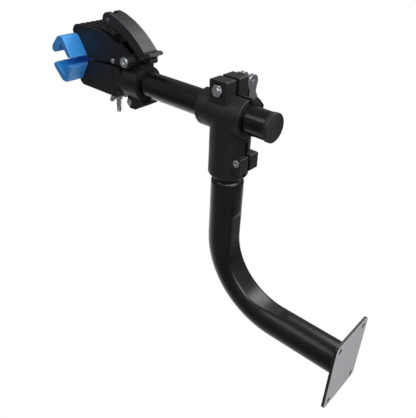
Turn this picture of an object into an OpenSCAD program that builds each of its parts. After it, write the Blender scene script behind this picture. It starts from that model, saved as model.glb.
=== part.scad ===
// Wall-mounted bicycle clamp: a bent post on a wall plate, a tee joint, a sliding arm and a cam clamp.
// The origin is the centre of the wall plate's back face. +Z is up and the wall is the plane Y = 0.

/* [Wall plate] */
// Width of the plate
plate_w = 83; // [75:1:110]
// Height of the plate
plate_h = 112; // [105:1:140]
// Thickness of the plate
plate_t = 4; // [3:0.5:8]
// Radius of the plate's corners
plate_corner = 6; // [3:1:12]
// Hole spacing across
hole_dx = 62; // [54:1:64]
// Hole spacing up and down
hole_dz = 92; // [84:1:94]
// Diameter of the four bolt holes
hole_d = 8.5; // [6:0.5:10]

/* [Post] */
// Outer diameter of the bent post
post_d = 45; // [42:0.5:50]
// Wall of the post
post_wall = 2.5; // [2:0.5:4]
// Bend radius at the tube's centreline
bend_r = 105; // [80:1:120]
// Distance from the wall to the upright post's axis
post_reach = 217; // [190:1:280]
// Diameter of the necked top inside the tee
neck_d = 38; // [34:0.5:40]
// Length of the rounded shoulder under the tee
shoulder_l = 12; // [6:1:14]

/* [Tee joint] */
// Height of the arm's axis above the plate's centre
arm_z = 287; // [260:1:360]
// Outer diameter of the upright sleeve
sleeve_d = 54; // [52:0.5:62]
// Height of the upright sleeve below the arm's axis
sleeve_l = 84; // [70:1:100]
// Outer diameter of the two collars on the arm's sleeve
collar_d = 51; // [48:0.5:56]
// Front end of the arm's sleeve, ahead of the post's axis
tee_front = 41; // [32:1:55]
// Back end of the arm's sleeve, behind the post's axis
tee_back = 28; // [24:1:45]
// Front of the upper ears, ahead of the post's axis
ear_front = 20; // [16:1:24]
// Back of the upper ears, behind the post's axis
ear_back = 6.5; // [4:0.5:12]
// Thickness of each upper ear
ear_t = 18.6; // [14:0.2:22]
// Height of the upper ears above the arm's axis
ear_h = 44.6; // [40:0.2:52]
// Width of the upper clamp's slot
slot_w = 6; // [4:0.5:8]
// Width of the lower clamp's slit
slit_w = 5; // [3:0.5:6]
// Thickness of each lower ear
lug_t = 16; // [12:0.5:20]
// Height of the lower ears
lug_h = 22; // [18:1:30]

/* [Arm] */
// Outer diameter of the arm tube
arm_d = 36; // [32:0.5:38]
// Wall of the arm tube
arm_wall = 2; // [1.5:0.5:3]
// Back end of the arm, behind the post's axis
arm_back = 60; // [50:1:90]
// Distance from the post's axis to the back of the jaw block
head_reach = 196; // [170:1:320]
// Wall of the split liner in the tee
liner_t = 2.6; // [2:0.2:3]

/* [Clamp head] */
// Width of the jaw block
head_w = 48; // [44:1:60]
// Width of the two pads
pad_w = 104; // [90:1:130]
// Thickness of the pads' flanks
pad_t = 9; // [7:0.5:10]
// Outer diameter of the head's collar on the arm
ring_d = 50; // [47:0.5:54]
// Length of the collar
ring_l = 43; // [36:1:50]
// Diameter of the jaw pivot bolt
pivot_d = 8; // [6:0.5:10]
// Width of the tongue between the upper jaw's cheeks
tongue_w = 28; // [22:1:30]
// Width of the cam lever
lever_w = 24; // [20:1:26]
// Depth of the cam lever's side walls
lever_h = 15; // [12:1:16]
// Diameter of the draw bolt
draw_d = 8; // [6:0.5:8]
// Diameter of the lever's pin
pin_d = 8; // [6:0.5:9]
// Radius of the lever's cam hub
cam_r = 13; // [11:0.5:14]

/* [Hidden] */
$fn = 72;
e = 0.01;
// Radial clearance of a running fit and the gap between pieces that move
run = 0.05;
gap = 0.5;
black = [0.09, 0.09, 0.1];
steel = [0.75, 0.76, 0.78];
blue = [0.13, 0.45, 0.85];

post_y = -post_reach;
bend_y = post_y + bend_r;
neck_r = neck_d / 2;
arm_r = arm_d / 2;
liner_r = arm_r + run + liner_t;
bore_r = liner_r + run;
sleeve_z = arm_z - sleeve_l;
neck_top = arm_z - bore_r - 8;
shoulder_z = sleeve_z - shoulder_l - 3;

// The lower clamp's bolt lies just outside the neck.
pinch_r = 3;
pinch_y = post_y + neck_r + pinch_r + 4.2;
pinch_z = sleeve_z + lug_h / 2 + 18;
lug_z = pinch_z - 4.5;
lug_y = pinch_y + 7;
lug_x = slit_w / 2 + lug_t;

// The upper clamp's skewer passes over the arm's bore.
skew_r = 4;
skew_y = post_y - (ear_front - ear_back) / 2;
skew_z = arm_z + ear_h - 12;
ear_x = slot_w / 2 + ear_t;
hub_r = 9.8;
washer_t = 5;
hub_x = -ear_x - washer_t - hub_r - 0.4;
quick_nut_r = 14 / 2 / cos(30);

// Clamp head, in local heights above the arm's axis and local Y from the jaw block's back.
head_y = post_y - head_reach;
ring_r = ring_d / 2;
piv = [25, 31.5];
pin = [-24, 76.5];
cam_off = [0.9, -0.9];
cc = [-85, 17];
jaw_bottom = -ring_r;
draw_end = -60;
lev_c = [-52, -48];
lev_r = 139;
bump = [52.6, 35.2];
bump_r = 4.6;
jaw_c = [-47.8, -60.5];
jaw_r = 125.5;
cheek_x = head_w / 2;
tongue_x = tongue_w / 2;
seat_z = pin[1] - cam_r - 0.8;
wing_z = jaw_bottom - 3;
bolt_y = 16;
bolt_z = -31.5;

// Points on an arc in the plane of the drawing.
function arc(c, r, a0, a1, n) =
    [for (i = [0:n]) c + r * [cos(a0 + (a1 - a0) * i / n), sin(a0 + (a1 - a0) * i / n)]];

// A drawing in Y and Z, drawn out along X about X = 0.
module slab_x(w) {
    rotate([90, 0, 90]) translate([0, 0, -w / 2]) linear_extrude(w) children();
}
// A drawing in Y and Z, drawn out from x0 to x1.
module slab_between(x0, x1) {
    rotate([90, 0, 90]) translate([0, 0, x0]) linear_extrude(x1 - x0) children();
}
// A round bar along X, at a point in Y and Z.
module bar_x(p, r, x0, x1) {
    translate([x0, p[0], p[1]]) rotate([0, 90, 0]) cylinder(r = r, h = x1 - x0);
}
// A round bar along Y on the arm's axis.
module bar_y(r, y0, y1) {
    translate([0, y0, arm_z]) rotate([-90, 0, 0]) cylinder(r = r, h = y1 - y0);
}
// A round bar along Y with rounded rims.
module soft_bar_y(r, y0, y1, f) {
    h = y1 - y0;
    translate([0, y0, arm_z]) rotate([-90, 0, 0]) rotate_extrude()
        polygon(concat([[0, 0]], arc([r - f, f], f, -90, 0, 5),
                       arc([r - f, h - f], f, 0, 90, 5), [[0, h]]));
}
// A rectangle with rounded corners.
module soft_rect(x0, y0, x1, y1, f) {
    polygon(concat(arc([x1 - f, y1 - f], f, 0, 90, 5), arc([x0 + f, y1 - f], f, 90, 180, 5),
                   arc([x0 + f, y0 + f], f, 180, 270, 5), arc([x1 - f, y0 + f], f, 270, 360, 5)));
}
// Moves local head drawings to the head's place.
module at_head() {
    translate([0, head_y, arm_z]) children();
}
// A hexagonal nut along X with a bored middle.
module nut_x(p, x0, x1, af, bore) {
    difference() {
        translate([x0, p[0], p[1]]) rotate([0, 90, 0]) cylinder(r = af / 2 / cos(30), h = x1 - x0, $fn = 6);
        bar_x(p, bore, x0 - 1, x1 + 1);
    }
}
// A socket-head screw along -X with its head at x0.
module socket_screw(p, x0, x1, r, head_r, head_h) {
    difference() {
        union() {
            bar_x(p, r, x1, x0);
            bar_x(p, head_r, x0, x0 + head_h);
        }
        translate([x0 + head_h * 0.45, p[0], p[1]]) rotate([0, 90, 0])
            cylinder(r = r * 0.95, h = head_h, $fn = 6);
    }
}

module wall_plate() {
    color(black) difference() {
        translate([0, 0, 0]) rotate([90, 0, 0]) linear_extrude(plate_t)
            soft_rect(-plate_w / 2, -plate_h / 2, plate_w / 2, plate_h / 2, plate_corner);
        for (sx = [-1, 1], sz = [-1, 1])
            translate([sx * hole_dx / 2, 1, sz * hole_dz / 2]) rotate([90, 0, 0])
                cylinder(d = hole_d, h = plate_t + 2);
    }
}

module plate_weld() {
    leg = 4;
    color(black) translate([0, -plate_t, 0]) rotate([90, 0, 0]) rotate_extrude()
        polygon(concat([[post_d / 2, 0], [post_d / 2 + leg, 0]],
                       arc([post_d / 2 + leg, leg], leg, 260, 190, 5), [[post_d / 2, leg]]));
}

module post_tube() {
    pr = post_d / 2;
    ir = pr - post_wall;
    nr = neck_r - post_wall;
    up = shoulder_z - bend_r;
    color(black) {
        translate([0, -plate_t, 0]) rotate([90, 0, 0]) rotate_extrude()
            polygon([[ir, 0], [pr, 0], [pr, -bend_y - plate_t], [ir, -bend_y - plate_t]]);
        translate([0, bend_y, bend_r]) rotate([90, 0, 90]) rotate([0, 0, 180])
            rotate_extrude(angle = 90, $fn = 96) translate([bend_r, 0]) difference() {
                circle(r = pr, $fn = 72);
                circle(r = ir, $fn = 72);
            }
        // Upright with the swaged shoulder and the neck.
        translate([0, post_y, bend_r]) rotate_extrude()
            polygon(concat([[ir, 0], [pr, 0], [pr, up]],
                [for (i = [1:8]) [neck_r + (pr - neck_r) * cos(i * 11.25), up + shoulder_l * sin(i * 11.25)]],
                [[neck_r, neck_top - bend_r], [nr, neck_top - bend_r], [nr, up + shoulder_l - 2], [ir, up - 1]]));
    }
}

module tee_joint() {
    y0 = post_y - tee_front;
    y1 = post_y + tee_back;
    color(black) difference() {
        union() {
            translate([0, post_y, sleeve_z]) rotate_extrude()
                polygon(concat([[0, 0]], arc([sleeve_d / 2 - 4, 4], 4, -90, 0, 6),
                               [[sleeve_d / 2, sleeve_l], [0, sleeve_l]]));
            soft_bar_y(collar_d / 2, y0, y1, 1.5);
            soft_bar_y(sleeve_d / 2, post_y - ear_front, post_y + ear_back, 1.2);
            slab_x(2 * ear_x) soft_rect(post_y - ear_front, arm_z, post_y + ear_back, arm_z + ear_h, 1.6);
            slab_x(2 * lug_x) soft_rect(post_y, lug_z - lug_h / 2, lug_y, lug_z + lug_h / 2, 1.6);
        }
        // Bore of the arm's liner, with a shallow recess at each end.
        bar_y(bore_r, y0 - 1, y1 + 1);
        // Socket of the post's neck.
        translate([0, post_y, sleeve_z - 1]) cylinder(r = neck_r + run, h = neck_top + 2 - sleeve_z);
        // Slot of the upper clamp and slit of the lower clamp.
        translate([-slot_w / 2, y0 - 1, arm_z]) cube([slot_w, y1 - y0 + 2, ear_h + 1]);
        translate([-slit_w / 2, post_y, sleeve_z - 1]) cube([slit_w, sleeve_d, neck_top - sleeve_z - 4]);
        translate([0, post_y, neck_top - 5]) rotate([-90, 0, 0]) cylinder(d = slit_w, h = sleeve_d);
        // Skewer hole with a seat for the nut, and the pinch bolt's hole with its counterbore.
        bar_x([skew_y, skew_z], skew_r + 0.2, -ear_x - 1, ear_x + 1);
        bar_x([skew_y, skew_z], quick_nut_r + 0.8, ear_x - 4, ear_x + 1);
        bar_x([pinch_y, pinch_z], pinch_r + 0.2, -lug_x - 1, lug_x + 1);
        bar_x([pinch_y, pinch_z], 5.4, lug_x - 5, lug_x + 1);
        translate([-lug_x - 1, pinch_y, pinch_z]) rotate([0, 90, 0])
            cylinder(r = 10.4 / 2 / cos(30), h = 5, $fn = 6);
    }
}

module pinch_bolt() {
    color(steel) socket_screw([pinch_y, pinch_z], lug_x - 5, -lug_x + 0.6, pinch_r, 5, 5.4);
}

module pinch_nut() {
    color(steel) nut_x([pinch_y, pinch_z], -lug_x - 0.6, -lug_x + 4, 10, pinch_r);
}

module skewer() {
    color(steel) difference() {
        bar_x([skew_y, skew_z], skew_r, hub_x - 5, ear_x + 4);
        translate([hub_x, skew_y - 6, skew_z]) rotate([-90, 0, 0]) cylinder(r = 3.05, h = 12);
    }
}

module skewer_nut() {
    color(steel) nut_x([skew_y, skew_z], ear_x - 4, ear_x + 2.5, 14, skew_r);
}

module cam_washer() {
    color("gray") difference() {
        union() {
            bar_x([skew_y, skew_z], 10.5, -ear_x - washer_t, -ear_x);
            translate([-ear_x - 2.5, skew_y - 5, skew_z + 4]) cube([2.5, 10, 9]);
        }
        bar_x([skew_y, skew_z], skew_r + 0.2, -ear_x - washer_t - 1, -ear_x + 1);
    }
}

// Outline of the quick lever across X and Z, hanging down from its hub.
function quick_pts() = concat(
    arc([0, 0], hub_r, -25, 205, 16),
    [[-7.4, -9], [-7, -14], [-15.2, -26.5], [-13, -30], [6.6, -23], [7, -17], [6.8, -10]]);

module quick_lever() {
    color(steel) translate([hub_x, skew_y, skew_z]) difference() {
        translate([0, 10, 0]) rotate([90, 0, 0]) linear_extrude(20) polygon(quick_pts());
        translate([0, -11, 0]) rotate([-90, 0, 0]) cylinder(r = 3, h = 22);
        // Slot of the skewer's end, open on the sides that swing past it.
        translate([0, -skew_r - 0.6, 0]) rotate([-90, 0, 0]) cylinder(r = skew_r + 3, h = 2 * skew_r + 1.2);
        translate([-hub_r - 1, -skew_r - 0.6, -skew_r - 1])
            cube([2 * hub_r + 2, 2 * skew_r + 1.2, hub_r + 2 * skew_r]);
    }
}

module quick_grip() {
    color(black) translate([hub_x, skew_y, skew_z]) difference() {
        translate([0, 12, 0]) rotate([90, 0, 0]) linear_extrude(24)
            polygon([[7.6, -19.5], [7.6, -31], [5, -46], [2, -62], [-2, -74], [-8, -78], [-14, -74],
                     [-20, -60], [-25, -44], [-25.5, -36], [-16, -26.5], [-10, -22]]);
        translate([0, 10.02, 0]) rotate([90, 0, 0]) linear_extrude(20.04) polygon(quick_pts());
    }
}

module quick_pin() {
    color(steel) translate([hub_x, skew_y - 10.6, skew_z]) rotate([-90, 0, 0]) cylinder(r = 3, h = 21.2);
}

module arm_liner() {
    y0 = post_y - tee_front - 1;
    y1 = post_y + tee_back + 1;
    color([0.05, 0.05, 0.05]) difference() {
        bar_y(liner_r, y0, y1);
        bar_y(arm_r + run, y0 - 1, y1 + 1);
        translate([-1.5, y0 - 1, arm_z]) cube([3, y1 - y0 + 2, liner_r + 1]);
    }
}

module arm_tube() {
    color(black) difference() {
        bar_y(arm_r, head_y, post_y + arm_back);
        bar_y(arm_r - arm_wall, head_y - 1, post_y + arm_back + 1);
    }
}

module arm_cap() {
    y1 = post_y + arm_back;
    color([0.12, 0.12, 0.13]) difference() {
        union() {
            soft_bar_y(arm_r + 0.8, y1, y1 + 6, 1.6);
            bar_y(arm_r - arm_wall, y1 - 12, y1 + 1);
        }
        bar_y(arm_r - arm_wall - 2, y1 - 13, y1 - 2);
    }
}

// Side outline of the lower jaw, seen along X.
function body_pts() = concat(
    [[2, jaw_bottom], [-72, jaw_bottom]],
    arc([-76, jaw_bottom + 9], 9, 265, 205, 5),
    [for (p = [[-1, 33.4], [3, 33.6], [6.2, 32.4], [23.4, 6.6], [24.6, 1.6]]) [cc[0] + p[0], cc[1] - p[1]]],
    [[-14, 19.4], [10, 20], [10, 12]]);

module clamp_body() {
    color(black) at_head() difference() {
        union() {
            slab_x(head_w) polygon(body_pts());
            // Tongue of the jaw's pivot.
            slab_x(tongue_w) polygon(concat([[4, 10]], arc(piv, 9, 180, 0, 14), [[piv[0] + 9, 10]]));
            slab_x(lever_w) polygon([[30, 10], [ring_l, 10], [ring_l, 22], [ring_l - 4, 25], [30, 25]]);
            // Collar round the arm.
            rotate([-90, 0, 0]) cylinder(r = ring_r, h = ring_l);
            // Lugs of the pinch bolt under the collar.
            slab_x(26) polygon([[11, -16], [13, bolt_z - 5], [17, bolt_z - 8.5], [28, bolt_z - 8],
                                [ring_l + 4, -29], [ring_l + 4, -25], [ring_l - 6, -20], [ring_l - 6, -16]]);
            // Fins across the collar's top.
            for (i = [0:3]) translate([-lever_w / 2, ring_l - 12 + i * 3.3, 8]) cube([lever_w, 1.8, 20]);
        }
        translate([0, -1, 0]) rotate([-90, 0, 0]) cylinder(r = arm_r + 0.02, h = ring_l + 40);
        // Slit of the collar.
        translate([-1.5, -e, -50]) cube([3, 80, 45]);
        // Passage of the draw bolt.
        slab_x(draw_d + 2) polygon([[pin[0] - 5.5, -40], [pin[0] + 6, -40], [pin[0] + 14, 30],
                                    [pin[0] - 5.8, 30]]);
        bar_x(piv, pivot_d / 2 + run, -30, 30);
        bar_x([bolt_y, bolt_z], 3.2, -20, 20);
        bar_x([bolt_y, bolt_z], 5.4, 9, 20);
        // Groove between the block's flank and the collar.
        for (s = [-1, 1]) translate([s * (head_w / 2 - 0.4) - 0.6, -5, jaw_bottom - 1]) cube([1.2, 1.2, 44]);
    }
}

module collar_bolt() {
    color(steel) at_head() socket_screw([bolt_y, bolt_z], 9, -15, 3, 5, 5);
}

module collar_nut() {
    color(steel) at_head() nut_x([bolt_y, bolt_z], -17.6, -13, 10, 3);
}

module jaw_bolt() {
    color(steel) at_head() difference() {
        union() {
            bar_x(piv, pivot_d / 2, -cheek_x - 8.4, cheek_x + 1);
            bar_x(piv, 7, cheek_x + gap, cheek_x + 4.8);
        }
        translate([cheek_x + 2.4, piv[0], piv[1]]) rotate([0, 90, 0]) cylinder(r = 2.9, h = 4, $fn = 6);
    }
}

module jaw_nut() {
    color(steel) at_head() nut_x(piv, -cheek_x - 7.2, -cheek_x - gap, 13, pivot_d / 2);
}

// Side outline of the upper jaw, seen along X.
function jaw_pts() = concat(
    [for (p = [[24.6, 2.2], [23.4, 6.6], [6.2, 32.4], [3, 33.6], [-5, 33.2], [-5.6, 34.6]]) cc + p],
    arc([-77.8, 50.5], 14, 175, 100, 8),
    arc(jaw_c, jaw_r, 96, 56, 14),
    arc(piv, 10, 75, -100, 12),
    [[13, 22.5], [8, 23.4], [-14, 23.6]]);

module upper_jaw() {
    color(black) at_head() difference() {
        slab_x(head_w) polygon(jaw_pts());
        // Room for the tongue between the two cheeks.
        slab_between(-tongue_x - gap, tongue_x + gap)
            polygon([[-3, 0], [-3, 30], [2, 40], [9, 62], [50, 62], [50, 0]]);
        // Troughs between the ribs along the top.
        for (i = [-2:2]) translate([i * 9, 0, 0]) slab_x(5.4)
            difference() {
                polygon(concat(arc(jaw_c, jaw_r + 4, 112, 64, 16), arc(jaw_c, jaw_r - 6, 64, 100, 16)));
                if (abs(i) < 2) translate([pin[0] - 15, seat_z - 30]) square([90, 80]);
            }
        // Seat of the cam's saddle.
        translate([-lever_w / 2 - 1, pin[0] - 13, seat_z - 3]) cube([lever_w + 2, 26, 40]);
        translate([-lever_w / 2 - 1, pin[0] + 12.9, seat_z - 9]) cube([lever_w + 2, 20, 40]);
        // Passage of the draw bolt.
        slab_x(draw_d + 2) polygon([[pin[0] - 6, 90], [pin[0] - 7, 10], [pin[0] + 14, 10], [pin[0] + 7, 90]]);
        bar_x(piv, pivot_d / 2 + run, -30, 30);
        for (s = [-1, 1]) bar_x([-2, 27.5], 2, s * cheek_x - 5, s * cheek_x + 5);
    }
}

module side_screws() {
    color(steel) at_head() for (s = [-1, 1]) {
        bar_x([-2, 27.5], 2, s > 0 ? cheek_x - 5 : -cheek_x, s > 0 ? cheek_x : -cheek_x + 5);
        bar_x([-2, 27.5], 3.4, s > 0 ? cheek_x : -cheek_x - 1.8, s > 0 ? cheek_x + 1.8 : -cheek_x);
    }
}

// Side outline of the upper pad about the clamp's centre; the lower pad mirrors it.
function pad_pts() = [
    [-25, 11.5], [-22.5, 16.5], [-8.5, 31], [-5, 33.2], [3, 33.6], [6.2, 32.4], [23.4, 6.6], [23.6, 5],
    [23, 4.6], [23 - pad_t, 4.6], [23 - pad_t - 1.5, 6], [1.2, 21.6], [-1.6, 21.8],
    [-15.5, 8], [-18, 6.8], [-23.8, 9.8]];

module pad_block() {
    at_head() translate([0, cc[0], cc[1]]) slab_x(pad_w) polygon(pad_pts());
}

module upper_pad() {
    color(blue) pad_block();
}

module lower_pad() {
    color(blue) translate([0, 0, 2 * (arm_z + cc[1])]) mirror([0, 0, 1]) pad_block();
}

module cam_saddle() {
    color(steel) at_head() difference() {
        translate([-lever_w / 2, pin[0] - 12, seat_z - 3]) cube([lever_w, 24, 6]);
        bar_x(pin, cam_r + 0.8, -lever_w, lever_w);
        slab_x(draw_d + 2) polygon([[pin[0] - 6, 90], [pin[0] - 6.5, 10], [pin[0] + 8, 10], [pin[0] + 7, 90]]);
    }
}

module draw_bolt() {
    color(steel) at_head() difference() {
        union() {
            translate([0, pin[0], draw_end]) cylinder(d = draw_d, h = pin[1] - draw_end);
            bar_x(pin, 7, -4.5, 4.5);
        }
        bar_x(pin, pin_d / 2 + run, -10, 10);
    }
}

module cam_pin() {
    color(steel) at_head() bar_x(pin, pin_d / 2, -lever_w / 2 - 0.6, lever_w / 2 + 0.6);
}

// Side outline of the cam lever with its tip, seen along X.
function lever_pts() = concat(
    arc(pin + cam_off, cam_r - 0.9, 315, 95, 16),
    arc(lev_c, lev_r, 74, 43.4, 18),
    [[52, 46.2], [58, 47.6], [61.5, 46.8], [62.6, 44.6], [61, 42.4], [55, 40.6], [49, 36.5]],
    arc(lev_c, lev_r - lever_h, 42, 68, 14));

module cam_lever() {
    color([0.2, 0.2, 0.22]) at_head() difference() {
        slab_x(lever_w) polygon(lever_pts());
        // Hollow under the lever's skin.
        slab_x(lever_w - 7) polygon(concat(arc(lev_c, lev_r - 4, 69, 45, 14),
                                           arc(lev_c, lev_r - lever_h - 4, 44, 63, 14)));
        // Fork round the draw bolt's eye, open above, ahead and below.
        slab_x(9.8) polygon([[pin[0] - 40, pin[1] - 30], [pin[0] - 40, pin[1] + 30], [pin[0] + 9, pin[1] + 30],
                             [pin[0] + 9, pin[1] + 2], [pin[0] + 16, pin[1] - 4], [pin[0] + 16, pin[1] - 30]]);
        bar_x(pin, pin_d / 2, -30, 30);
        bar_x(bump, bump_r, -7, 7);
    }
}

module lever_bumper() {
    color([0.12, 0.12, 0.13]) at_head() bar_x(bump, bump_r, -7, 7);
}

module draw_washer() {
    color(steel) at_head() difference() {
        translate([0, pin[0], wing_z]) cylinder(r = 8, h = 2.5);
        translate([0, pin[0], wing_z - 1]) cylinder(r = draw_d / 2 + run, h = 4.5);
    }
}

module wing_nut() {
    color(steel) at_head() translate([0, pin[0], wing_z]) difference() {
        union() {
            translate([0, 0, -11]) cylinder(r1 = 6, r2 = 7.4, h = 11);
            for (s = [0, 180]) rotate([0, 0, s]) translate([0, 1.5, 0]) rotate([90, 0, 0])
                linear_extrude(3) polygon([[4, -9], [9, -10.8], [13, -13], [15.4, -12], [16, -8.5], [13.5, -4],
                                           [9, -1.5], [5, -2]]);
        }
        translate([0, 0, -20]) cylinder(r = draw_d / 2 + run, h = 30);
    }
}

wall_plate();
plate_weld();
post_tube();
tee_joint();
pinch_bolt();
pinch_nut();
skewer();
skewer_nut();
cam_washer();
quick_lever();
quick_grip();
quick_pin();
arm_liner();
arm_tube();
arm_cap();
clamp_body();
collar_bolt();
collar_nut();
jaw_bolt();
jaw_nut();
upper_jaw();
side_screws();
upper_pad();
lower_pad();
cam_saddle();
draw_bolt();
cam_pin();
cam_lever();
lever_bumper();
draw_washer();
wing_nut();
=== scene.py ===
"""Wall rack for a bicycle: dresses the fixed frame with finished pieces, floor, light and camera."""

import math

import bpy
from mathutils import Matrix, Vector


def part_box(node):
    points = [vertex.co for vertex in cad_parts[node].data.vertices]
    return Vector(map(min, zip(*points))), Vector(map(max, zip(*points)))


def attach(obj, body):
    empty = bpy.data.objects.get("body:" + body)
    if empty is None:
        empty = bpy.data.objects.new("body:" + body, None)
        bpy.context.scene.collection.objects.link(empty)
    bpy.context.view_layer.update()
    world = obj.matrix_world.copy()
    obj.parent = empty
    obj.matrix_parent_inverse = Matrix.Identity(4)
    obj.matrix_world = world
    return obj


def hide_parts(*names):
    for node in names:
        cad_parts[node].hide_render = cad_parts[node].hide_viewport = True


bl_info = {
    "name": "Bicycle wall rack",
    "version": (1, 0, 0),
    "blender": (4, 5, 0),
    "location": "3D View > Sidebar > Wall rack",
    "description": "Builds the finished pieces and studio of a bicycle wall rack round its fixed frame",
    "category": "Object",
}

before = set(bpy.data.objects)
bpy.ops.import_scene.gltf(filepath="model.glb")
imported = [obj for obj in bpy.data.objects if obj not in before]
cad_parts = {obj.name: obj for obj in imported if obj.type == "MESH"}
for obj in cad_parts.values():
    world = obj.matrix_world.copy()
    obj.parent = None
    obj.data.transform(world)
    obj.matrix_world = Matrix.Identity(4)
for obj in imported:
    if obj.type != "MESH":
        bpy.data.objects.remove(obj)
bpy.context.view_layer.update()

MM = 0.001
QUARTER_TURN = math.radians(90)
PLATE_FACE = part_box("wall_plate")[0].y
POST_LOW, POST_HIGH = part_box("post_tube")
TEE_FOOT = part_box("tee_joint")[0].z
ARM_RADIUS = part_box("arm_tube")[1].x
CAP_LOW, CAP_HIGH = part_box("arm_cap")
DRAW_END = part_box("draw_bolt")[0].z
PIN_LOW, PIN_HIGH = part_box("cam_pin")
NUT_LOW, NUT_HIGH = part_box("skewer_nut")


# ---------------------------------------------------------------- colours and nodes


def linear(hex_colour):
    """An sRGB hex colour as a linear RGBA tuple."""
    text = hex_colour.lstrip("#")
    parts = [int(text[i : i + 2], 16) / 255 for i in (0, 2, 4)]
    return tuple(c / 12.92 if c <= 0.04045 else ((c + 0.055) / 1.055) ** 2.4 for c in parts) + (1.0,)


def add(tree, kind, inputs=None, **settings):
    """Adds a node with its settings; an input is a value or another node's socket."""
    made = tree.nodes.new(kind)
    for name, value in settings.items():
        setattr(made, name, value)
    for name, value in (inputs or {}).items():
        if isinstance(value, bpy.types.NodeSocket):
            tree.links.new(value, made.inputs[name])
        else:
            made.inputs[name].default_value = value
    return made


def new_material(name):
    """An empty node material, with its tree and its shader joined to the output."""
    made = bpy.data.materials.new(name)
    made.use_nodes = True
    tree = made.node_tree
    tree.nodes.clear()
    shader = add(tree, "ShaderNodeBsdfPrincipled")
    add(tree, "ShaderNodeOutputMaterial", {"Surface": shader.outputs["BSDF"]})
    return made, tree, shader


def per_mm(size_mm):
    """The noise scale whose features are about size_mm across, on coordinates in metres."""
    return 1.0 / (size_mm * MM)


def set_material(piece, material):
    """The piece shows one finish all over."""
    piece.data.materials.clear()
    piece.data.materials.append(material)


# ---------------------------------------------------------------- finishes

COAT_IOR = 1.5
NYLON_IOR = 1.53
WHITE = (1, 1, 1, 1)


def tinted(tree, pattern, colour, spread, shades):
    """One colour, darker and lighter with a pattern: its values in spread give the shades."""
    tone = add(tree, "ShaderNodeMapRange", {"Value": pattern, "From Min": spread[0], "From Max": spread[1],
                                            "To Min": shades[0], "To Max": shades[1]})
    tint = add(tree, "ShaderNodeMix", {0: 1.0, 6: linear(colour), 7: tone.outputs["Result"]},
               data_type="RGBA", blend_type="MULTIPLY")
    return tint.outputs[2]


def mottled(tree, pattern, spread, colour, other):
    """Two colours that a pattern mixes, from the first to the other over its values in spread."""
    mix = add(tree, "ShaderNodeMapRange", {"Value": pattern, "From Min": spread[0], "From Max": spread[1]})
    tint = add(tree, "ShaderNodeMix", {0: mix.outputs["Result"], 6: linear(colour), 7: linear(other)},
               data_type="RGBA")
    return tint.outputs[2]


def paint_edge_highlights(tree, shader, coat, most, colour):
    """The coat shows, and turns part of the way to a lighter colour, a painted highlight, on the rounded-edge
    faces that are marked for it.
    """
    edge = add(tree, "ShaderNodeAttribute", attribute_name="painted_highlight")
    painted_highlight = add(tree, "ShaderNodeMapRange", {"Value": edge.outputs["Fac"], "To Min": 0.0, "To Max": most})
    shown = add(tree, "ShaderNodeMix", {0: painted_highlight.outputs["Result"], 6: coat, 7: linear(colour)},
                data_type="RGBA")
    tree.links.new(shown.outputs[2], shader.inputs["Base Color"])


def relief(tree, shader, height, strength, depth_mm, pattern, gloss):
    """The skin's small relief, and its roughness between the two gloss values as the pattern goes."""
    rough = add(tree, "ShaderNodeMapRange", {"Value": pattern, "From Min": 0.3, "From Max": 0.7,
                                             "To Min": gloss[0], "To Max": gloss[1]})
    tree.links.new(rough.outputs["Result"], shader.inputs["Roughness"])
    bump = add(tree, "ShaderNodeBump", {"Height": height, "Strength": strength, "Distance": depth_mm * MM})
    tree.links.new(bump.outputs["Normal"], shader.inputs["Normal"])


def powder_coat(name, colour, gloss_low, gloss_high):
    """Polyester powder coat, sprayed and baked on steel: it flows into a faint orange peel about 2 mm
    across and keeps a soft, even gloss."""
    made, tree, shader = new_material(name)
    place = add(tree, "ShaderNodeTexCoord").outputs["Object"]
    peel = add(tree, "ShaderNodeTexNoise", {"Vector": place, "Scale": per_mm(2.2), "Detail": 2.0,
                                            "Roughness": 0.4})
    flow = add(tree, "ShaderNodeTexNoise", {"Vector": place, "Scale": per_mm(30), "Detail": 3.0,
                                            "Roughness": 0.55})
    specks = add(tree, "ShaderNodeTexNoise", {"Vector": place, "Scale": per_mm(0.7), "Detail": 1.0})
    coat = tinted(tree, flow.outputs["Fac"], colour, (0.3, 0.7), (0.82, 1.18))
    # Painted highlight: the rounded edges turn part of the way to a lighter grey.
    paint_edge_highlights(tree, shader, coat, 0.35, "#4A4A4C")
    # The specks are taller where the peel is high.
    height = add(tree, "ShaderNodeMath", {0: peel.outputs["Fac"], 1: specks.outputs["Fac"],
                                          2: specks.outputs["Fac"]}, operation="MULTIPLY_ADD")
    relief(tree, shader, height.outputs[0], 0.12, 0.15, flow.outputs["Fac"], (gloss_low, gloss_high))
    shader.inputs["IOR"].default_value = COAT_IOR
    return made


def plate_coat(name, colour, back_colour):
    """The same baked coat on flat plate, but the face against the wall is pale grey."""
    made = powder_coat(name, colour, 0.34, 0.44)
    tree = made.node_tree
    shader = next(n for n in tree.nodes if n.type == "BSDF_PRINCIPLED")
    front = shader.inputs["Base Color"].links[0].from_socket
    place = add(tree, "ShaderNodeTexCoord").outputs["Object"]
    axis = add(tree, "ShaderNodeSeparateXYZ", {"Vector": place})
    back = add(tree, "ShaderNodeMapRange", {"Value": axis.outputs["Y"], "From Min": -0.5 * MM,
                                            "From Max": -0.2 * MM})
    grit = add(tree, "ShaderNodeTexNoise", {"Vector": place, "Scale": per_mm(9), "Detail": 5.0,
                                            "Roughness": 0.65})
    pale = tinted(tree, grit.outputs["Fac"], back_colour, (0.3, 0.7), (0.97, 1.03))
    both = add(tree, "ShaderNodeMix", {0: back.outputs["Result"], 6: front, 7: pale}, data_type="RGBA")
    tree.links.new(both.outputs[2], shader.inputs["Base Color"])
    return made


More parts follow.
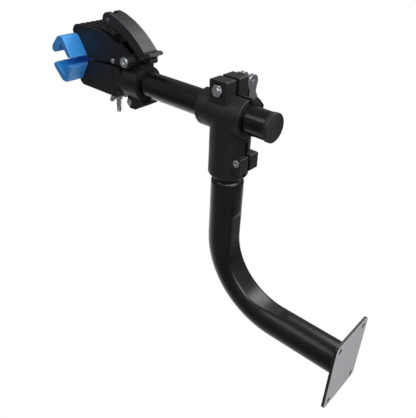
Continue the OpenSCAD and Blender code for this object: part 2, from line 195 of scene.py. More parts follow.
def casting_coat(name, colour):
    """Fine-textured paint over an aluminium casting: its grit is drawn about 1 mm across so that it shows,
    and it is dull, with a painted highlight on its rounded edges."""
    made, tree, shader = new_material(name)
    place = add(tree, "ShaderNodeTexCoord").outputs["Object"]
    grit = add(tree, "ShaderNodeTexNoise", {"Vector": place, "Scale": per_mm(0.9), "Detail": 3.0,
                                            "Roughness": 0.6})
    lumps = add(tree, "ShaderNodeTexNoise", {"Vector": place, "Scale": per_mm(14), "Detail": 2.0})
    coat = tinted(tree, grit.outputs["Fac"], colour, (0.25, 0.75), (0.8, 1.25))
    # Painted highlight: the rounded edges turn half way to a lighter grey.
    paint_edge_highlights(tree, shader, coat, 0.5, "#56565A")
    relief(tree, shader, grit.outputs["Fac"], 0.3, 0.2, lumps.outputs["Fac"], (0.44, 0.56))
    return made


def filled_nylon(name, colour, painted_sheen_colour, gloss, grain_mm, grain_depth):
    """Glass-filled nylon, injection moulded in a spark-eroded tool: a fine even grain, a slight painted
    bluish sheen that a flow pattern spreads at random, and a painted highlight on rounded edges."""
    made, tree, shader = new_material(name)
    place = add(tree, "ShaderNodeTexCoord").outputs["Object"]
    grain = add(tree, "ShaderNodeTexVoronoi", {"Vector": place, "Scale": per_mm(grain_mm), "Randomness": 1.0})
    flow = add(tree, "ShaderNodeTexNoise", {"Vector": place, "Scale": per_mm(26), "Detail": 4.0,
                                            "Roughness": 0.6, "Distortion": 0.6})
    # The second colour is a painted sheen, which the flow pattern mixes in at random.
    skin = mottled(tree, flow.outputs["Fac"], (0.38, 0.66), colour, painted_sheen_colour)
    # Painted highlight: the rounded edges turn most of the way to a pale grey.
    paint_edge_highlights(tree, shader, skin, 0.7, "#6C6C72")
    relief(tree, shader, grain.outputs["Distance"], 0.25, grain_depth, flow.outputs["Fac"],
           (gloss - 0.05, gloss + 0.06))
    shader.inputs["IOR"].default_value = NYLON_IOR
    return made


def pad_rubber(name, colour, deep_colour):
    """Moulded blue thermoplastic rubber: matt and slightly soft to light, with a stippled skin and faint
    flow marks."""
    made, tree, shader = new_material(name)
    place = add(tree, "ShaderNodeTexCoord").outputs["Object"]
    stipple = add(tree, "ShaderNodeTexNoise", {"Vector": place, "Scale": per_mm(0.8), "Detail": 2.0})
    cloud = add(tree, "ShaderNodeTexNoise", {"Vector": place, "Scale": per_mm(18), "Detail": 4.0,
                                             "Roughness": 0.6})
    skin = mottled(tree, cloud.outputs["Fac"], (0.35, 0.7), colour, deep_colour)
    # Painted highlight: the rounded edges turn part of the way to a lighter blue.
    paint_edge_highlights(tree, shader, skin, 0.4, "#6CB0F0")
    relief(tree, shader, stipple.outputs["Fac"], 0.35, 0.12, cloud.outputs["Fac"], (0.42, 0.54))
    shader.inputs["Subsurface Weight"].default_value = 0.08
    shader.inputs["Subsurface Scale"].default_value = 2 * MM
    shader.inputs["Subsurface Radius"].default_value = (0.3, 0.6, 1.0)
    shader.inputs["Sheen Weight"].default_value = 0.08
    return made


def zinc_plate(name, colour, dull):
    """Bright zinc plate, polished zinc casting or blackened steel: a metal with faint clouds in its surface
    and fine draw lines."""
    made, tree, shader = new_material(name)
    place = add(tree, "ShaderNodeTexCoord").outputs["Object"]
    cloud = add(tree, "ShaderNodeTexNoise", {"Vector": place, "Scale": per_mm(4), "Detail": 4.0,
                                             "Roughness": 0.6})
    scratch = add(tree, "ShaderNodeTexNoise", {"Vector": place, "Scale": per_mm(0.5), "Detail": 2.0})
    skin = mottled(tree, cloud.outputs["Fac"], (0.35, 0.7), colour, "#A9ADB4")
    tree.links.new(skin, shader.inputs["Base Color"])
    relief(tree, shader, scratch.outputs["Fac"], 0.15, 0.05, cloud.outputs["Fac"],
           (dull - 0.06, dull + 0.08))
    shader.inputs["Metallic"].default_value = 1.0
    return made


def moulded_plastic(name, colour, gloss, stipple_mm):
    """Polyethylene or ABS from a blasted mould: dull, with a fine stipple and a few scuffs."""
    made, tree, shader = new_material(name)
    place = add(tree, "ShaderNodeTexCoord").outputs["Object"]
    stipple = add(tree, "ShaderNodeTexNoise", {"Vector": place, "Scale": per_mm(stipple_mm), "Detail": 2.0})
    scuff = add(tree, "ShaderNodeTexNoise", {"Vector": place, "Scale": per_mm(7), "Detail": 6.0,
                                             "Roughness": 0.7})
    skin = tinted(tree, scuff.outputs["Fac"], colour, (0.3, 0.75), (0.85, 1.3))
    tree.links.new(skin, shader.inputs["Base Color"])
    relief(tree, shader, stipple.outputs["Fac"], 0.3, 0.12, scuff.outputs["Fac"],
           (gloss - 0.06, gloss + 0.06))
    return made


def floor_paint_and_glow(name):
    """Studio floor: white where it is seen directly, and pale matt paint to reflections and bounced light,
    with a glowing pool of painted light that fades out."""
    pool_middle, pool_full, pool_end = (-1.4, -1.9, -1.2), 1.2, 2.7
    made, tree, shader = new_material(name)
    place = add(tree, "ShaderNodeTexCoord").outputs["Object"]
    roller = add(tree, "ShaderNodeTexNoise", {"Vector": place, "Scale": 40.0, "Detail": 3.0})
    paint = tinted(tree, roller.outputs["Fac"], "#B4B4B3", (0.0, 1.0), (0.97, 1.0))
    tree.links.new(paint, shader.inputs["Base Color"])
    shader.inputs["Roughness"].default_value = 0.9
    # Painted light: the floor glows white round pool_middle, fading to nothing between pool_full and
    # pool_end.
    away = add(tree, "ShaderNodeVectorMath", {0: place, 1: pool_middle}, operation="DISTANCE")
    pool = add(tree, "ShaderNodeMapRange", {"Value": away.outputs["Value"], "From Min": pool_full,
                                            "From Max": pool_end, "To Min": 1.0, "To Max": 0.0})
    tree.links.new(pool.outputs["Result"], shader.inputs["Emission Strength"])
    shader.inputs["Emission Color"].default_value = WHITE
    path = add(tree, "ShaderNodeLightPath")
    white = add(tree, "ShaderNodeEmission", {"Color": WHITE, "Strength": 1.0})
    both = add(tree, "ShaderNodeMixShader", {0: path.outputs["Is Camera Ray"], 1: shader.outputs["BSDF"],
                                             2: white.outputs["Emission"]})
    out = next(n for n in tree.nodes if n.type == "OUTPUT_MATERIAL")
    tree.links.new(both.outputs[0], out.inputs["Surface"])
    return made


# Each finish's maker and what the maker is given.
FINISHES = {
    "satin powder coat": (powder_coat, "#0E0E10", 0.28, 0.36),
    "gloss powder coat": (powder_coat, "#0A0A0B", 0.18, 0.25),
    "plate powder coat": (plate_coat, "#151517", "#B6B5BA"),
    "textured casting coat": (casting_coat, "#19191D"),
    "jaw nylon": (filled_nylon, "#0B0C10", "#0E1017", 0.46, 0.8, 0.08),
    "body nylon": (filled_nylon, "#0C0C0F", "#101014", 0.48, 0.8, 0.08),
    "lever nylon": (filled_nylon, "#232327", "#2A2A2F", 0.5, 1.0, 0.16),
    "blue pad rubber": (pad_rubber, "#2C93E6", "#2184D2"),
    "bright zinc": (zinc_plate, "#F4F5F7", 0.34),
    "polished zinc casting": (zinc_plate, "#E8E8EC", 0.32),
    "blackened steel": (zinc_plate, "#55565A", 0.42),
    "cap polyethylene": (moulded_plastic, "#1E1E21", 0.5, 0.9),
    "grip plastic": (moulded_plastic, "#131315", 0.42, 0.8),
    "grey washer plastic": (moulded_plastic, "#6A6A70", 0.5, 0.8),
    "liner acetal": (moulded_plastic, "#0B0B0C", 0.4, 1.0),
    "bumper rubber": (moulded_plastic, "#1B1B1D", 0.62, 0.7),
}


def finish_named(name):
    """A finish by its name; it is made once and shared."""
    if name not in bpy.data.materials:
        maker, *given = FINISHES[name]
        maker(name, *given)
    return bpy.data.materials[name]


# ---------------------------------------------------------------- shaping by hand


def focus(piece):
    """Only this piece is selected and active."""
    if bpy.context.object and bpy.context.object.mode != "OBJECT":
        bpy.ops.object.mode_set(mode="OBJECT")
    bpy.ops.object.select_all(action="DESELECT")
    piece.select_set(True)
    bpy.context.view_layer.objects.active = piece


def apply_modifier(piece, kind, name, **settings):
    """Adds a modifier with its settings and applies it."""
    focus(piece)
    made = piece.modifiers.new(name, kind)
    for key, value in settings.items():
        setattr(made, key, value)
    bpy.ops.object.modifier_apply(modifier=made.name)


def settle(piece):
    """The piece's place goes into its mesh."""
    focus(piece)
    bpy.ops.object.transform_apply(location=True, rotation=True, scale=True)


def outward(piece):
    """Doubles are merged and faces turned outwards."""
    focus(piece)
    bpy.ops.object.mode_set(mode="EDIT")
    bpy.ops.mesh.select_all(action="SELECT")
    bpy.ops.mesh.remove_doubles(threshold=0.000002)
    bpy.ops.mesh.normals_make_consistent(inside=False)
    bpy.ops.object.mode_set(mode="OBJECT")


def smooth(piece, degrees):
    """Soft shading, broken where faces meet more sharply than this."""
    focus(piece)
    bpy.ops.object.shade_smooth_by_angle(angle=math.radians(degrees))


def rounded_copy(node, name, radius_mm, segments=2, sharp=40.0, merge_mm=0.01):
    """A copy of a CAD node, merged, with its flat faces made whole and its sharp edges rounded."""
    flat_angle, soft_angle, face_weight = math.radians(0.4), 38, 50
    made = bpy.data.objects.new(name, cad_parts[node].data.copy())
    bpy.context.collection.objects.link(made)
    # Two empty slots, so the bevel can put its own faces in the second.
    made.data.materials.clear()
    for _ in range(2):
        made.data.materials.append(None)
    focus(made)
    bpy.ops.object.mode_set(mode="EDIT")
    bpy.ops.mesh.select_all(action="SELECT")
    bpy.ops.mesh.remove_doubles(threshold=merge_mm * MM)
    bpy.ops.mesh.dissolve_limited(angle_limit=flat_angle)
    bpy.ops.object.mode_set(mode="OBJECT")
    apply_modifier(made, "BEVEL", "Rounded edges", width=radius_mm * MM, segments=segments,
                   limit_method="ANGLE", angle_limit=math.radians(sharp), use_clamp_overlap=True,
                   miter_outer="MITER_ARC", material=1)
    # The rounded edges are marked, because the finish takes a painted highlight there.
    highlight_faces = made.data.attributes.new("painted_highlight", "FLOAT", "FACE")
    for face in made.data.polygons:
        highlight_faces.data[face.index].value = float(face.material_index == 1)
        face.material_index = 0
    smooth(made, soft_angle)
    apply_modifier(made, "WEIGHTED_NORMAL", "Flat faces", mode="FACE_AREA", weight=face_weight,
                   keep_sharp=True)
    return made


def finish_piece(piece, nodes, body, material):
    """The piece stands for its CAD nodes, rides on its body and shows its finish."""
    set_material(piece, material)
    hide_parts(*nodes)
    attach(piece, body)


def round_and_finish(node, name, body, look, radius_mm, *shape):
    """A CAD node's rounded copy, in its place, on its body and in the named finish."""
    piece = rounded_copy(node, name, radius_mm, *shape)
    finish_piece(piece, [node], body, finish_named(look))


# ---------------------------------------------------------------- sizes and colours


class RackSizes(bpy.types.PropertyGroup):
    """Sizes of the details that are added to the frame."""

    bend_radius: bpy.props.FloatProperty(
        name="Bend radius", description="Radius of the post's bend at the tube's centreline",
        default=105 * MM, subtype="DISTANCE", unit="LENGTH")
    press_depth: bpy.props.FloatProperty(
        name="Press depth", description="How far the bending tool flattened the bend's inner side",
        default=5.5 * MM, subtype="DISTANCE", unit="LENGTH")
    shoulder_drop: bpy.props.FloatProperty(
        name="Shoulder drop", description="How far under the tee the post is still its full width",
        default=12 * MM, subtype="DISTANCE", unit="LENGTH")
    shoulder_radius: bpy.props.FloatProperty(
        name="Shoulder radius", description="Rounding of the swaged shoulder's profile", default=7 * MM,
        subtype="DISTANCE", unit="LENGTH")
    waist_radius: bpy.props.FloatProperty(
        name="Waist radius", description="Radius of the post between its shoulder and the tee",
        default=19.6 * MM, subtype="DISTANCE", unit="LENGTH")
    neck_radius: bpy.props.FloatProperty(
        name="Neck radius", description="Radius of the post's top inside the tee", default=19 * MM,
        subtype="DISTANCE", unit="LENGTH")
    pad_rounding: bpy.props.FloatProperty(
        name="Pad rounding", description="Rounding of the rubber pads' edges", default=2.0 * MM,
        subtype="DISTANCE", unit="LENGTH")
    thread_pitch: bpy.props.FloatProperty(
        name="Thread pitch", description="Pitch of the draw bolt's thread", default=1.25 * MM,
        subtype="DISTANCE", unit="LENGTH")
    thread_length: bpy.props.FloatProperty(
        name="Thread length", description="Length of thread up from the draw bolt's end", default=52 * MM,
        subtype="DISTANCE", unit="LENGTH")


class RackStudio(bpy.types.PropertyGroup):
    """Camera, floor and light."""

    camera_place: bpy.props.FloatVectorProperty(
        name="Camera place", description="Where the camera stands", default=(0.4719, 0.1493, 0.5221), size=3,
        subtype="TRANSLATION", unit="LENGTH")
    azimuth: bpy.props.FloatProperty(
        name="Azimuth", description="Direction the camera looks from, round the upright axis",
        default=math.radians(130.19), subtype="ANGLE", unit="ROTATION")
    elevation: bpy.props.FloatProperty(
        name="Elevation", description="Height of the camera above the horizon", default=math.radians(32.38),
        subtype="ANGLE", unit="ROTATION")
    roll: bpy.props.FloatProperty(
        name="Roll", description="Tilt of the camera about its line of sight", default=math.radians(2.36),
        subtype="ANGLE", unit="ROTATION")
    lens: bpy.props.FloatProperty(
        name="Lens", description="Focal length in millimetres on a 36 mm sensor", default=43.3056)
    floor_drop: bpy.props.FloatProperty(
        name="Floor drop", description="Height of the wall plate's centre above the floor", default=1.2,
        subtype="DISTANCE", unit="LENGTH")
    softbox_power: bpy.props.FloatProperty(
        name="Softbox power", description="Power that the softboxes share out", default=11.0, unit="POWER")
    room_strength: bpy.props.FloatProperty(
        name="Room light", description="Strength of the light from all round", default=0.22)


# ---------------------------------------------------------------- the post


def extrude_ring(old, new, centre):
    """Extrudes the selected ring from old to new, each a height and a radius, round an upright centreline."""
    centre_x, centre_y = centre
    bpy.ops.mesh.extrude_region_move(TRANSFORM_OT_translate={"value": (0, 0, new[0] - old[0])})
    scale = new[1] / old[1]
    bpy.ops.transform.resize(value=(scale, scale, 1), center_override=(centre_x, centre_y, new[0]))
    return new


def bent_post_mesh(sizes):
    """Sweeps a ring along the wall arm, round the bend and up the post, then presses the bend's inner
    side."""
    ring_points, arm_steps, bend_steps, post_steps, shoulder_steps = 80, 36, 48, 28, 10
    waist_gap, neck_gap = 0.8 * MM, 0.4 * MM
    radius = POST_HIGH.x
    post_y = POST_LOW.y + radius
    bend = sizes.bend_radius
    bend_y = post_y + bend
    shoulder_z = TEE_FOOT - sizes.shoulder_drop
    bpy.ops.object.select_all(action="DESELECT")
    bpy.ops.mesh.primitive_circle_add(vertices=ring_points, radius=radius, location=(0, PLATE_FACE, 0),
                                      rotation=(QUARTER_TURN, 0, 0))
    post = bpy.context.object
    post.name = "bent_post"
    settle(post)
    bpy.ops.object.mode_set(mode="EDIT")
    bpy.ops.mesh.select_all(action="SELECT")
    for _ in range(arm_steps):
        bpy.ops.mesh.extrude_region_move(
            TRANSFORM_OT_translate={"value": (0, (bend_y - PLATE_FACE) / arm_steps, 0)})
    bpy.ops.mesh.spin(steps=bend_steps, angle=QUARTER_TURN, center=(0, bend_y, bend), axis=(1, 0, 0))
    for _ in range(post_steps):
        bpy.ops.mesh.extrude_region_move(
            TRANSFORM_OT_translate={"value": (0, 0, (shoulder_z - bend) / post_steps)})
    # The swaged shoulder turns in to the waist.
    ring = (shoulder_z, radius)
    round_off = sizes.shoulder_radius
    last_turn = math.acos(1 - (radius - sizes.waist_radius) / round_off)
    for step in range(1, shoulder_steps + 1):
        turn = last_turn * step / shoulder_steps
        ring = extrude_ring(ring, (shoulder_z + round_off * math.sin(turn),
                                   radius - round_off * (1 - math.cos(turn))), (0, post_y))
    # The waist runs up to the tee and steps down to the neck inside it.
    for wanted in ((TEE_FOOT - waist_gap, sizes.waist_radius), (TEE_FOOT - neck_gap, sizes.neck_radius),
                   (POST_HIGH.z, sizes.neck_radius)):
        ring = extrude_ring(ring, wanted, (0, post_y))
    bpy.ops.object.mode_set(mode="OBJECT")
    press_bend(post, sizes, radius, post_y)
    outward(post)
    return post


def press_bend(post, sizes, radius, post_y):
    """Flattens the bend's inner side as the bending tool did, and a little way along both straights."""
    straight_share = 0.4
    arm_fade, post_fade, bend_fade = (6 * MM, 20 * MM), (36 * MM, 41 * MM), (0.0, math.radians(30))
    blend, full_depth, least_depth = 1.2 * MM, 0.8 * MM, 0.01 * MM
    bend = sizes.bend_radius
    bend_y = post_y + bend
    for vertex in post.data.vertices:
        _, y, z = vertex.co
        if y > bend_y:
            side, inner = Vector((0, 0, 1)), z
            depth = straight_share * sizes.press_depth * fade(y - bend_y, *arm_fade)
        elif z > bend:
            side, inner = Vector((0, 1, 0)), y - post_y
            depth = straight_share * sizes.press_depth * fade(z - bend, *post_fade)
        else:
            turn = math.atan2(bend_y - y, bend - z)
            side = Vector((0, math.sin(turn), math.cos(turn)))
            inner = bend - math.hypot(bend_y - y, bend - z)
            near_end = fade(min(turn, QUARTER_TURN - turn), *bend_fade)
            depth = sizes.press_depth * (1 - (1 - straight_share) * near_end)
        over = inner - (radius - depth)
        if depth > least_depth and over > -blend:
            dip = over if over > blend else (over + blend) ** 2 / (4 * blend)
            vertex.co -= side * dip * min(1.0, depth / full_depth)


def fade(value, start, stop):
    """One up to start, nought from stop on, and a soft slope between."""
    share = min(1.0, max(0.0, (value - start) / (stop - start)))
    return 1 - share * share * (3 - 2 * share)


def close_ends(piece):
    """Fills every open rim with a face."""
    focus(piece)
    bpy.ops.object.mode_set(mode="EDIT")
    bpy.ops.mesh.select_all(action="DESELECT")
    bpy.ops.mesh.select_mode(type="EDGE")
    bpy.ops.mesh.select_non_manifold(extend=False, use_wire=False, use_boundary=True, use_multi_face=False,
                                     use_non_contiguous=False, use_verts=False)
    bpy.ops.mesh.edge_face_add()
    bpy.ops.mesh.select_all(action="SELECT")
    bpy.ops.mesh.normals_make_consistent(inside=False)
    bpy.ops.object.mode_set(mode="OBJECT")


def weld_bead():
    """A run of weld round the post's foot, with the ripples that a torch leaves every few millimetres."""
    bead_radius, stand_off, sunk = 2.7 * MM, 0.6 * MM, 0.3 * MM
    # Each ripple's share of the bead's radius, its number round the post and its phase.
    ripples = ((0.06, 58, 0.0), (0.03, 23, 1.1))
    run = POST_HIGH.x + stand_off
    bpy.ops.object.select_all(action="DESELECT")
    bpy.ops.mesh.primitive_torus_add(major_radius=run, minor_radius=bead_radius, major_segments=180,
                                     minor_segments=14, location=(0, PLATE_FACE, 0),
                                     rotation=(QUARTER_TURN, 0, 0))
    bead = bpy.context.object
    bead.name = "weld_bead"
    settle(bead)
    for vertex in bead.data.vertices:
        turn = math.atan2(vertex.co.z, vertex.co.x)
        swell = 1 + sum(share * math.sin(turn * count + phase) for share, count, phase in ripples)
        centre = Vector((math.cos(turn) * run, PLATE_FACE, math.sin(turn) * run))
        vertex.co = centre + (vertex.co - centre) * swell
        vertex.co.y = min(vertex.co.y, PLATE_FACE + sunk)
    smooth(bead, 50)
    return bead


class RACK_OT_bracket(bpy.types.Operator):
    """Wall plate with rounded edges, the weld bead and the bent post"""

    bl_idname = "rack.bracket"
    bl_label = "Bracket"

    def execute(self, context):
        coat = finish_named("satin powder coat")
        round_and_finish("wall_plate", "wall_plate_rounded", "post", "plate powder coat", 0.7)
        post = bent_post_mesh(context.scene.rack_sizes)
        close_ends(post)
        smooth(post, 40)
        finish_piece(post, ["post_tube"], "post", coat)
        finish_piece(weld_bead(), ["plate_weld"], "post", coat)
        return {"FINISHED"}


# ---------------------------------------------------------------- the tee and its fixings


def cylinder_along_x(vertices, radius, depth, centre):
    """A cylinder along X, alone in the selection, with its place in its mesh."""
    bpy.ops.object.select_all(action="DESELECT")
    bpy.ops.mesh.primitive_cylinder_add(vertices=vertices, radius=radius, depth=depth, location=centre,
                                        rotation=(0, QUARTER_TURN, 0))
    made = bpy.context.object
    settle(made)
    return made


def hex_nut(name, centre, flats, length, bore):
    """A hexagon nut along X with turned chamfers and a plain bore."""
    nut = cylinder_along_x(6, flats / 2 / math.cos(math.radians(30)), length, centre)
    nut.name = name
    # A turned blank, a little narrower than the corners, trims them to a chamfer.
    blank = cylinder_along_x(72, flats / 2 * 1.13, length, centre)
    apply_modifier(blank, "BEVEL", "Chamfer", width=flats * 0.09, segments=3, limit_method="ANGLE",
                   angle_limit=math.radians(40))
    apply_modifier(nut, "BOOLEAN", "Turned blank", object=blank, operation="INTERSECT", solver="EXACT")
    bpy.data.objects.remove(blank)
    # The drill is longer than the nut, so that it comes out at both faces.
    drill = cylinder_along_x(48, bore, length * 1.5, centre)
    apply_modifier(nut, "BOOLEAN", "Bore", object=drill, operation="DIFFERENCE", solver="EXACT")
    bpy.data.objects.remove(drill)
    apply_modifier(nut, "BEVEL", "Worn edges", width=0.18 * MM, segments=2, limit_method="ANGLE",
                   angle_limit=math.radians(35))
    smooth(nut, 40)
    return nut


def threaded_rod(name, foot, radius, length, pitch):
    """An upright rod with a helical thread round a core with domed ends; foot is the middle of its lower
    end."""
    turns = max(2, int(length / pitch))
    root = radius * 0.86
    # The plane's corners, taken round its open side, become the thread's root, crest, crest and root.
    profile = {(-1, 1): (root, 0.0), (-1, -1): (radius, pitch * 0.42), (1, -1): (radius, pitch * 0.58),
               (1, 1): (root, pitch)}
    bpy.ops.object.select_all(action="DESELECT")
    bpy.ops.mesh.primitive_plane_add(size=2, location=(0, 0, 0))
    rod = bpy.context.object
    rod.name = name
    bpy.ops.object.mode_set(mode="EDIT")
    bpy.ops.mesh.select_mode(type="EDGE")
    bpy.ops.mesh.select_all(action="SELECT")
    bpy.ops.mesh.delete(type="ONLY_FACE")
    bpy.ops.mesh.select_all(action="DESELECT")
    bpy.ops.object.mode_set(mode="OBJECT")
    corners = rod.data.vertices
    for edge in rod.data.edges:
        edge.select = all(corners[index].co.y > 0 for index in edge.vertices)
    bpy.ops.object.mode_set(mode="EDIT")
    bpy.ops.mesh.delete(type="EDGE")
    bpy.ops.object.mode_set(mode="OBJECT")
    for corner in rod.data.vertices:
        out, up = profile[round(corner.co.x), round(corner.co.y)]
        corner.co = (out, 0, up)
    apply_modifier(rod, "SCREW", "Thread", axis="Z", angle=math.radians(360), screw_offset=pitch,
                   iterations=turns, steps=28, render_steps=28, use_merge_vertices=True,
                   use_smooth_shade=False)
    outward(rod)
    # A core fills the thread, and its ends close it.
    total = pitch * (turns + 1)
    bpy.ops.object.select_all(action="DESELECT")
    bpy.ops.mesh.primitive_cylinder_add(vertices=40, radius=radius * 0.9, depth=total,
                                        location=(0, 0, total / 2))
    core = bpy.context.object
    settle(core)
    apply_modifier(core, "BEVEL", "Domed ends", width=radius * 0.22, segments=4, limit_method="ANGLE",
                   angle_limit=math.radians(40))
    focus(rod)
    core.select_set(True)
    bpy.ops.object.join()
    rod.data.transform(Matrix.Translation(foot))
    smooth(rod, 30)
    return rod


class RACK_OT_tee(bpy.types.Operator):
    """Tee casting with rounded edges, its pinch bolt and the skewer with its nut"""

    bl_idname = "rack.tee"
    bl_label = "Tee joint"

    def execute(self, context):
        nut_bore = 3.9 * MM
        round_and_finish("tee_joint", "tee_casting", "tee", "textured casting coat", 1.0, 3)
        round_and_finish("pinch_bolt", "pinch_screw", "tee", "bright zinc", 0.35)
        round_and_finish("pinch_nut", "pinch_hex_nut", "tee", "bright zinc", 0.3)
        nut = hex_nut("skewer_hex_nut", (NUT_LOW + NUT_HIGH) / 2, NUT_HIGH.y - NUT_LOW.y,
                      NUT_HIGH.x - NUT_LOW.x, nut_bore)
        finish_piece(nut, ["skewer_nut"], "tee", finish_named("bright zinc"))
        round_and_finish("skewer", "skewer_shank", "tee", "bright zinc", 0.5)
        round_and_finish("cam_washer", "cam_seat_washer", "tee", "grey washer plastic", 0.5)
        return {"FINISHED"}


class RACK_OT_quick_release(bpy.types.Operator):
    """Quick-release eye, its pin and its moulded grip"""

    bl_idname = "rack.quick_release"
    bl_label = "Quick release"

    def execute(self, context):
        round_and_finish("quick_lever", "quick_release_eye", "quick_release", "polished zinc casting", 1.0, 3)
        round_and_finish("quick_grip", "quick_release_grip", "quick_release", "grip plastic", 2.2, 4, 25)
        round_and_finish("quick_pin", "quick_release_pin", "quick_release", "bright zinc", 0.4)
        return {"FINISHED"}


def end_cap():
    """A pushed-in tube cap: a short skirt, a rolled rim, and a face with a shallow moulded step."""
    head, bore_wall, skirt_wall, web = 6 * MM, 2.05 * MM, 1.8 * MM, 1 * MM
    rim, step, step_depth = 2.2 * MM, 0.5 * MM, 0.35 * MM
    radius = (CAP_HIGH.x - CAP_LOW.x) / 2
    depth = CAP_HIGH.y - CAP_LOW.y
    bpy.ops.object.select_all(action="DESELECT")
    bpy.ops.mesh.primitive_cylinder_add(vertices=96, radius=radius, depth=head,
                                        location=(0, CAP_HIGH.y - head / 2, (CAP_LOW.z + CAP_HIGH.z) / 2),
                                        rotation=(QUARTER_TURN, 0, 0))
    cap = bpy.context.object
    cap.name = "arm_end_cap"
    settle(cap)
    select_end(cap, 1)
    bpy.ops.mesh.inset(thickness=rim, depth=0)
    bpy.ops.mesh.inset(thickness=step, depth=-step_depth)
    select_end(cap, -1)
    bpy.ops.mesh.inset(thickness=radius - (ARM_RADIUS - bore_wall), depth=0)
    bpy.ops.mesh.extrude_region_move(TRANSFORM_OT_translate={"value": (0, -(depth - head), 0)})
    bpy.ops.mesh.inset(thickness=skirt_wall, depth=0)
    bpy.ops.mesh.extrude_region_move(TRANSFORM_OT_translate={"value": (0, depth - head - web, 0)})
    bpy.ops.object.mode_set(mode="OBJECT")
    apply_modifier(cap, "BEVEL", "Rolled rims", width=0.9 * MM, segments=4, limit_method="ANGLE",
                   angle_limit=math.radians(40))
    outward(cap)
    smooth(cap, 40)
    return cap


def select_end(piece, side):
    """Edit mode, with only the flat end faces selected that look along Y; side is 1 or -1."""
    nearly_square = 0.9
    if piece.mode != "EDIT":
        bpy.ops.object.mode_set(mode="EDIT")
    bpy.ops.mesh.select_mode(type="FACE")
    bpy.ops.mesh.select_all(action="DESELECT")
    bpy.ops.object.mode_set(mode="OBJECT")
    for face in piece.data.polygons:
        face.select = face.normal.y * side > nearly_square
    bpy.ops.object.mode_set(mode="EDIT")


class RACK_OT_arm(bpy.types.Operator):
    """Arm tube, its liner in the tee and its end cap"""

    bl_idname = "rack.arm"
    bl_label = "Arm"

    def execute(self, context):
        round_and_finish("arm_tube", "arm_tube_gloss", "arm", "gloss powder coat", 0.3)
        # The liner keeps the frame's own shape.
        set_material(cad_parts["arm_liner"], finish_named("liner acetal"))
        finish_piece(end_cap(), ["arm_cap"], "arm", finish_named("cap polyethylene"))
        return {"FINISHED"}


# ---------------------------------------------------------------- the clamp head


class RACK_OT_jaws(bpy.types.Operator):
    """Lower jaw with its collar, upper jaw, and the bolts and screws through them"""

    bl_idname = "rack.jaws"
    bl_label = "Jaws"

    def execute(self, context):
        round_and_finish("clamp_body", "lower_jaw_moulding", "arm", "body nylon", 0.9, 3)
        round_and_finish("upper_jaw", "upper_jaw_moulding", "jaw", "jaw nylon", 0.8, 3)
        for node, name, body, radius_mm in (
            ("jaw_bolt", "jaw_pivot_bolt", "arm", 0.7),
            ("jaw_nut", "jaw_pivot_nut", "arm", 0.4),
            ("collar_bolt", "collar_screw", "arm", 0.4),
            ("collar_nut", "collar_hex_nut", "arm", 0.3),
            ("side_screws", "side_screw_heads", "jaw", 0.6),
        ):
            round_and_finish(node, name, body, "bright zinc", radius_mm, 3)
        return {"FINISHED"}


class RACK_OT_pads(bpy.types.Operator):
    """Blue rubber pads with rounded edges"""

    bl_idname = "rack.pads"
    bl_label = "Pads"

    def execute(self, context):
        rounding_mm = context.scene.rack_sizes.pad_rounding / MM
        # Outline points closer than merge_mm are made one first, which leaves room to round the edges.
        segments, sharp, merge_mm = 4, 15, 2.5
        for node, body in (("upper_pad", "jaw"), ("lower_pad", "arm")):
            round_and_finish(node, node + "_rubber", body, "blue pad rubber", rounding_mm, segments, sharp,
                             merge_mm)
        return {"FINISHED"}


class RACK_OT_draw_gear(bpy.types.Operator):
    """Draw bolt with its eye and thread, its washer and wing nut, and the saddle under the cam"""

    bl_idname = "rack.draw_gear"
    bl_label = "Draw gear"

    def execute(self, context):
        sizes = context.scene.rack_sizes
        thread_radius = 4 * MM
        y = (PIN_LOW.y + PIN_HIGH.y) / 2
        shank = rounded_copy("draw_bolt", "draw_bolt_eye", 0.5)
        # The plain shank is cut away where the thread takes over.
        focus(shank)
        bpy.ops.object.mode_set(mode="EDIT")
        bpy.ops.mesh.select_all(action="SELECT")
        bpy.ops.mesh.bisect(plane_co=(0, y, DRAW_END + sizes.thread_length), plane_no=(0, 0, 1),
                            use_fill=True, clear_inner=True)
        bpy.ops.object.mode_set(mode="OBJECT")
        rod = threaded_rod("draw_bolt_thread", Vector((0, y, DRAW_END)), thread_radius, sizes.thread_length,
                           sizes.thread_pitch)
        focus(shank)
        rod.select_set(True)
        bpy.ops.object.join()
        finish_piece(shank, ["draw_bolt"], "draw", finish_named("bright zinc"))
        round_and_finish("draw_washer", "draw_bolt_washer", "nut_carrier", "bright zinc", 0.4)
        round_and_finish("wing_nut", "draw_wing_nut", "nut", "bright zinc", 0.8, 3, 30)
        round_and_finish("cam_saddle", "cam_saddle_steel", "jaw", "blackened steel", 0.4)
        return {"FINISHED"}


class RACK_OT_lever(bpy.types.Operator):
    """Cam lever with its pin and bumper"""

    bl_idname = "rack.lever"
    bl_label = "Cam lever"

    def execute(self, context):
        round_and_finish("cam_lever", "cam_lever_moulding", "lever", "lever nylon", 0.9, 3)
        round_and_finish("cam_pin", "cam_lever_pin", "lever", "blackened steel", 0.7, 3)
        round_and_finish("lever_bumper", "lever_bumper_rubber", "lever", "bumper rubber", 1.0, 3)
        return {"FINISHED"}


# ---------------------------------------------------------------- the studio


class RACK_OT_studio(bpy.types.Operator):
    """Pale floor, soft studio light and the camera"""

    bl_idname = "rack.studio"
    bl_label = "Studio"

    def execute(self, context):
        studio = context.scene.rack_studio
        floor_size = 120
        bpy.ops.object.select_all(action="DESELECT")
        bpy.ops.mesh.primitive_plane_add(size=floor_size, location=(0, 0, -studio.floor_drop))
        floor = context.object
        floor.name = "studio_floor"
        settle(floor)
        set_material(floor, floor_paint_and_glow("studio floor paint"))
        set_softboxes(context, studio)
        set_air(context, studio)
        set_camera(context, studio)
        return {"FINISHED"}


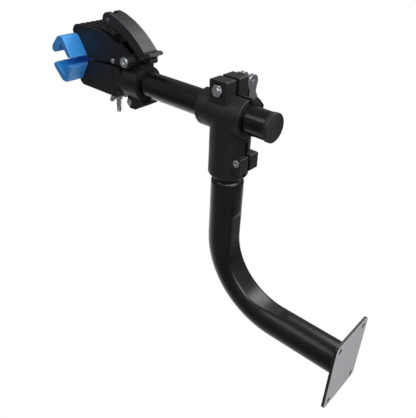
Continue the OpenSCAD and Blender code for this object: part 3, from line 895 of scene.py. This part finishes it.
def set_softboxes(context, studio):
    """Four square softboxes round the rack, each at its size and its share of the power."""
    middle, distance = Vector((0, -0.25, 0.2)), 1.6
    for name, aim, size, share in (
        ("right softbox", (0.61, -0.28, 0.74), 0.7, 0.35),
        ("rear softbox", (0.05, 0.76, 0.65), 1.0, 1.7),
        ("left softbox", (-0.65, 0.15, 0.74), 0.9, 1.3),
        ("front softbox", (0.60, 0.50, 0.62), 0.4, 0.35),
    ):
        lamp = bpy.data.lights.new(name, "AREA")
        lamp.shape = "SQUARE"
        lamp.size = size
        lamp.energy = share * studio.softbox_power
        lamp_at = bpy.data.objects.new(name, lamp)
        context.collection.objects.link(lamp_at)
        place = middle + Vector(aim).normalized() * distance
        lamp_at.location = place
        lamp_at.rotation_euler = (middle - place).to_track_quat("-Z", "Y").to_euler()


def set_air(context, studio):
    """The far backdrop: white where it is seen directly, but dimmer as a light."""
    world = bpy.data.worlds.new("studio air")
    context.scene.world = world
    world.use_nodes = True
    tree = world.node_tree
    tree.nodes.clear()
    path = add(tree, "ShaderNodeLightPath")
    strength = add(tree, "ShaderNodeMapRange", {"Value": path.outputs["Is Camera Ray"],
                                                "To Min": studio.room_strength, "To Max": 1.0})
    air = add(tree, "ShaderNodeBackground", {"Color": WHITE, "Strength": strength.outputs["Result"]})
    add(tree, "ShaderNodeOutputWorld", {"Surface": air.outputs["Background"]})
    context.scene.view_settings.view_transform = "Standard"


def set_camera(context, studio):
    """The camera, turned by its azimuth, elevation and roll."""
    back = Vector((math.sin(studio.azimuth) * math.cos(studio.elevation),
                   -math.cos(studio.azimuth) * math.cos(studio.elevation), math.sin(studio.elevation)))
    level_right = (-back).cross(Vector((0, 0, 1))).normalized()
    level_up = back.cross(level_right)
    right = level_right * math.cos(studio.roll) + level_up * math.sin(studio.roll)
    up = back.cross(right)
    lens = bpy.data.cameras.new("camera")
    lens.sensor_width = 36
    lens.lens = studio.lens
    lens.clip_start = 0.01
    lens.clip_end = 200
    camera = bpy.data.objects.new("camera", lens)
    context.collection.objects.link(camera)
    turn = Matrix((right, up, back)).transposed().to_4x4()
    camera.matrix_world = Matrix.Translation(studio.camera_place) @ turn
    context.scene.camera = camera


class RACK_PT_panel(bpy.types.Panel):
    """Lists the rack's pieces, sizes and studio settings"""

    bl_idname = "RACK_PT_panel"
    bl_label = "Wall rack"
    bl_space_type = "VIEW_3D"
    bl_region_type = "UI"
    bl_category = "Wall rack"

    def draw(self, context):
        column = self.layout.column()
        for operator in OPERATORS:
            column.operator(operator.bl_idname)
        for group in (context.scene.rack_sizes, context.scene.rack_studio):
            for name in group.__annotations__:
                column.prop(group, name)


OPERATORS = (RACK_OT_studio, RACK_OT_bracket, RACK_OT_tee, RACK_OT_quick_release, RACK_OT_arm, RACK_OT_jaws,
             RACK_OT_pads, RACK_OT_draw_gear, RACK_OT_lever)
CLASSES = (RackSizes, RackStudio, *OPERATORS, RACK_PT_panel)


def register():
    for made in CLASSES:
        bpy.utils.register_class(made)
    bpy.types.Scene.rack_sizes = bpy.props.PointerProperty(type=RackSizes)
    bpy.types.Scene.rack_studio = bpy.props.PointerProperty(type=RackStudio)


def unregister():
    del bpy.types.Scene.rack_studio
    del bpy.types.Scene.rack_sizes
    for made in reversed(CLASSES):
        bpy.utils.unregister_class(made)


def main():
    """Builds everything in order."""
    register()
    bpy.ops.rack.studio()
    bpy.ops.rack.bracket()
    bpy.ops.rack.tee()
    bpy.ops.rack.quick_release()
    bpy.ops.rack.arm()
    bpy.ops.rack.jaws()
    bpy.ops.rack.pads()
    bpy.ops.rack.draw_gear()
    bpy.ops.rack.lever()


if __name__ == "__main__":
    main()
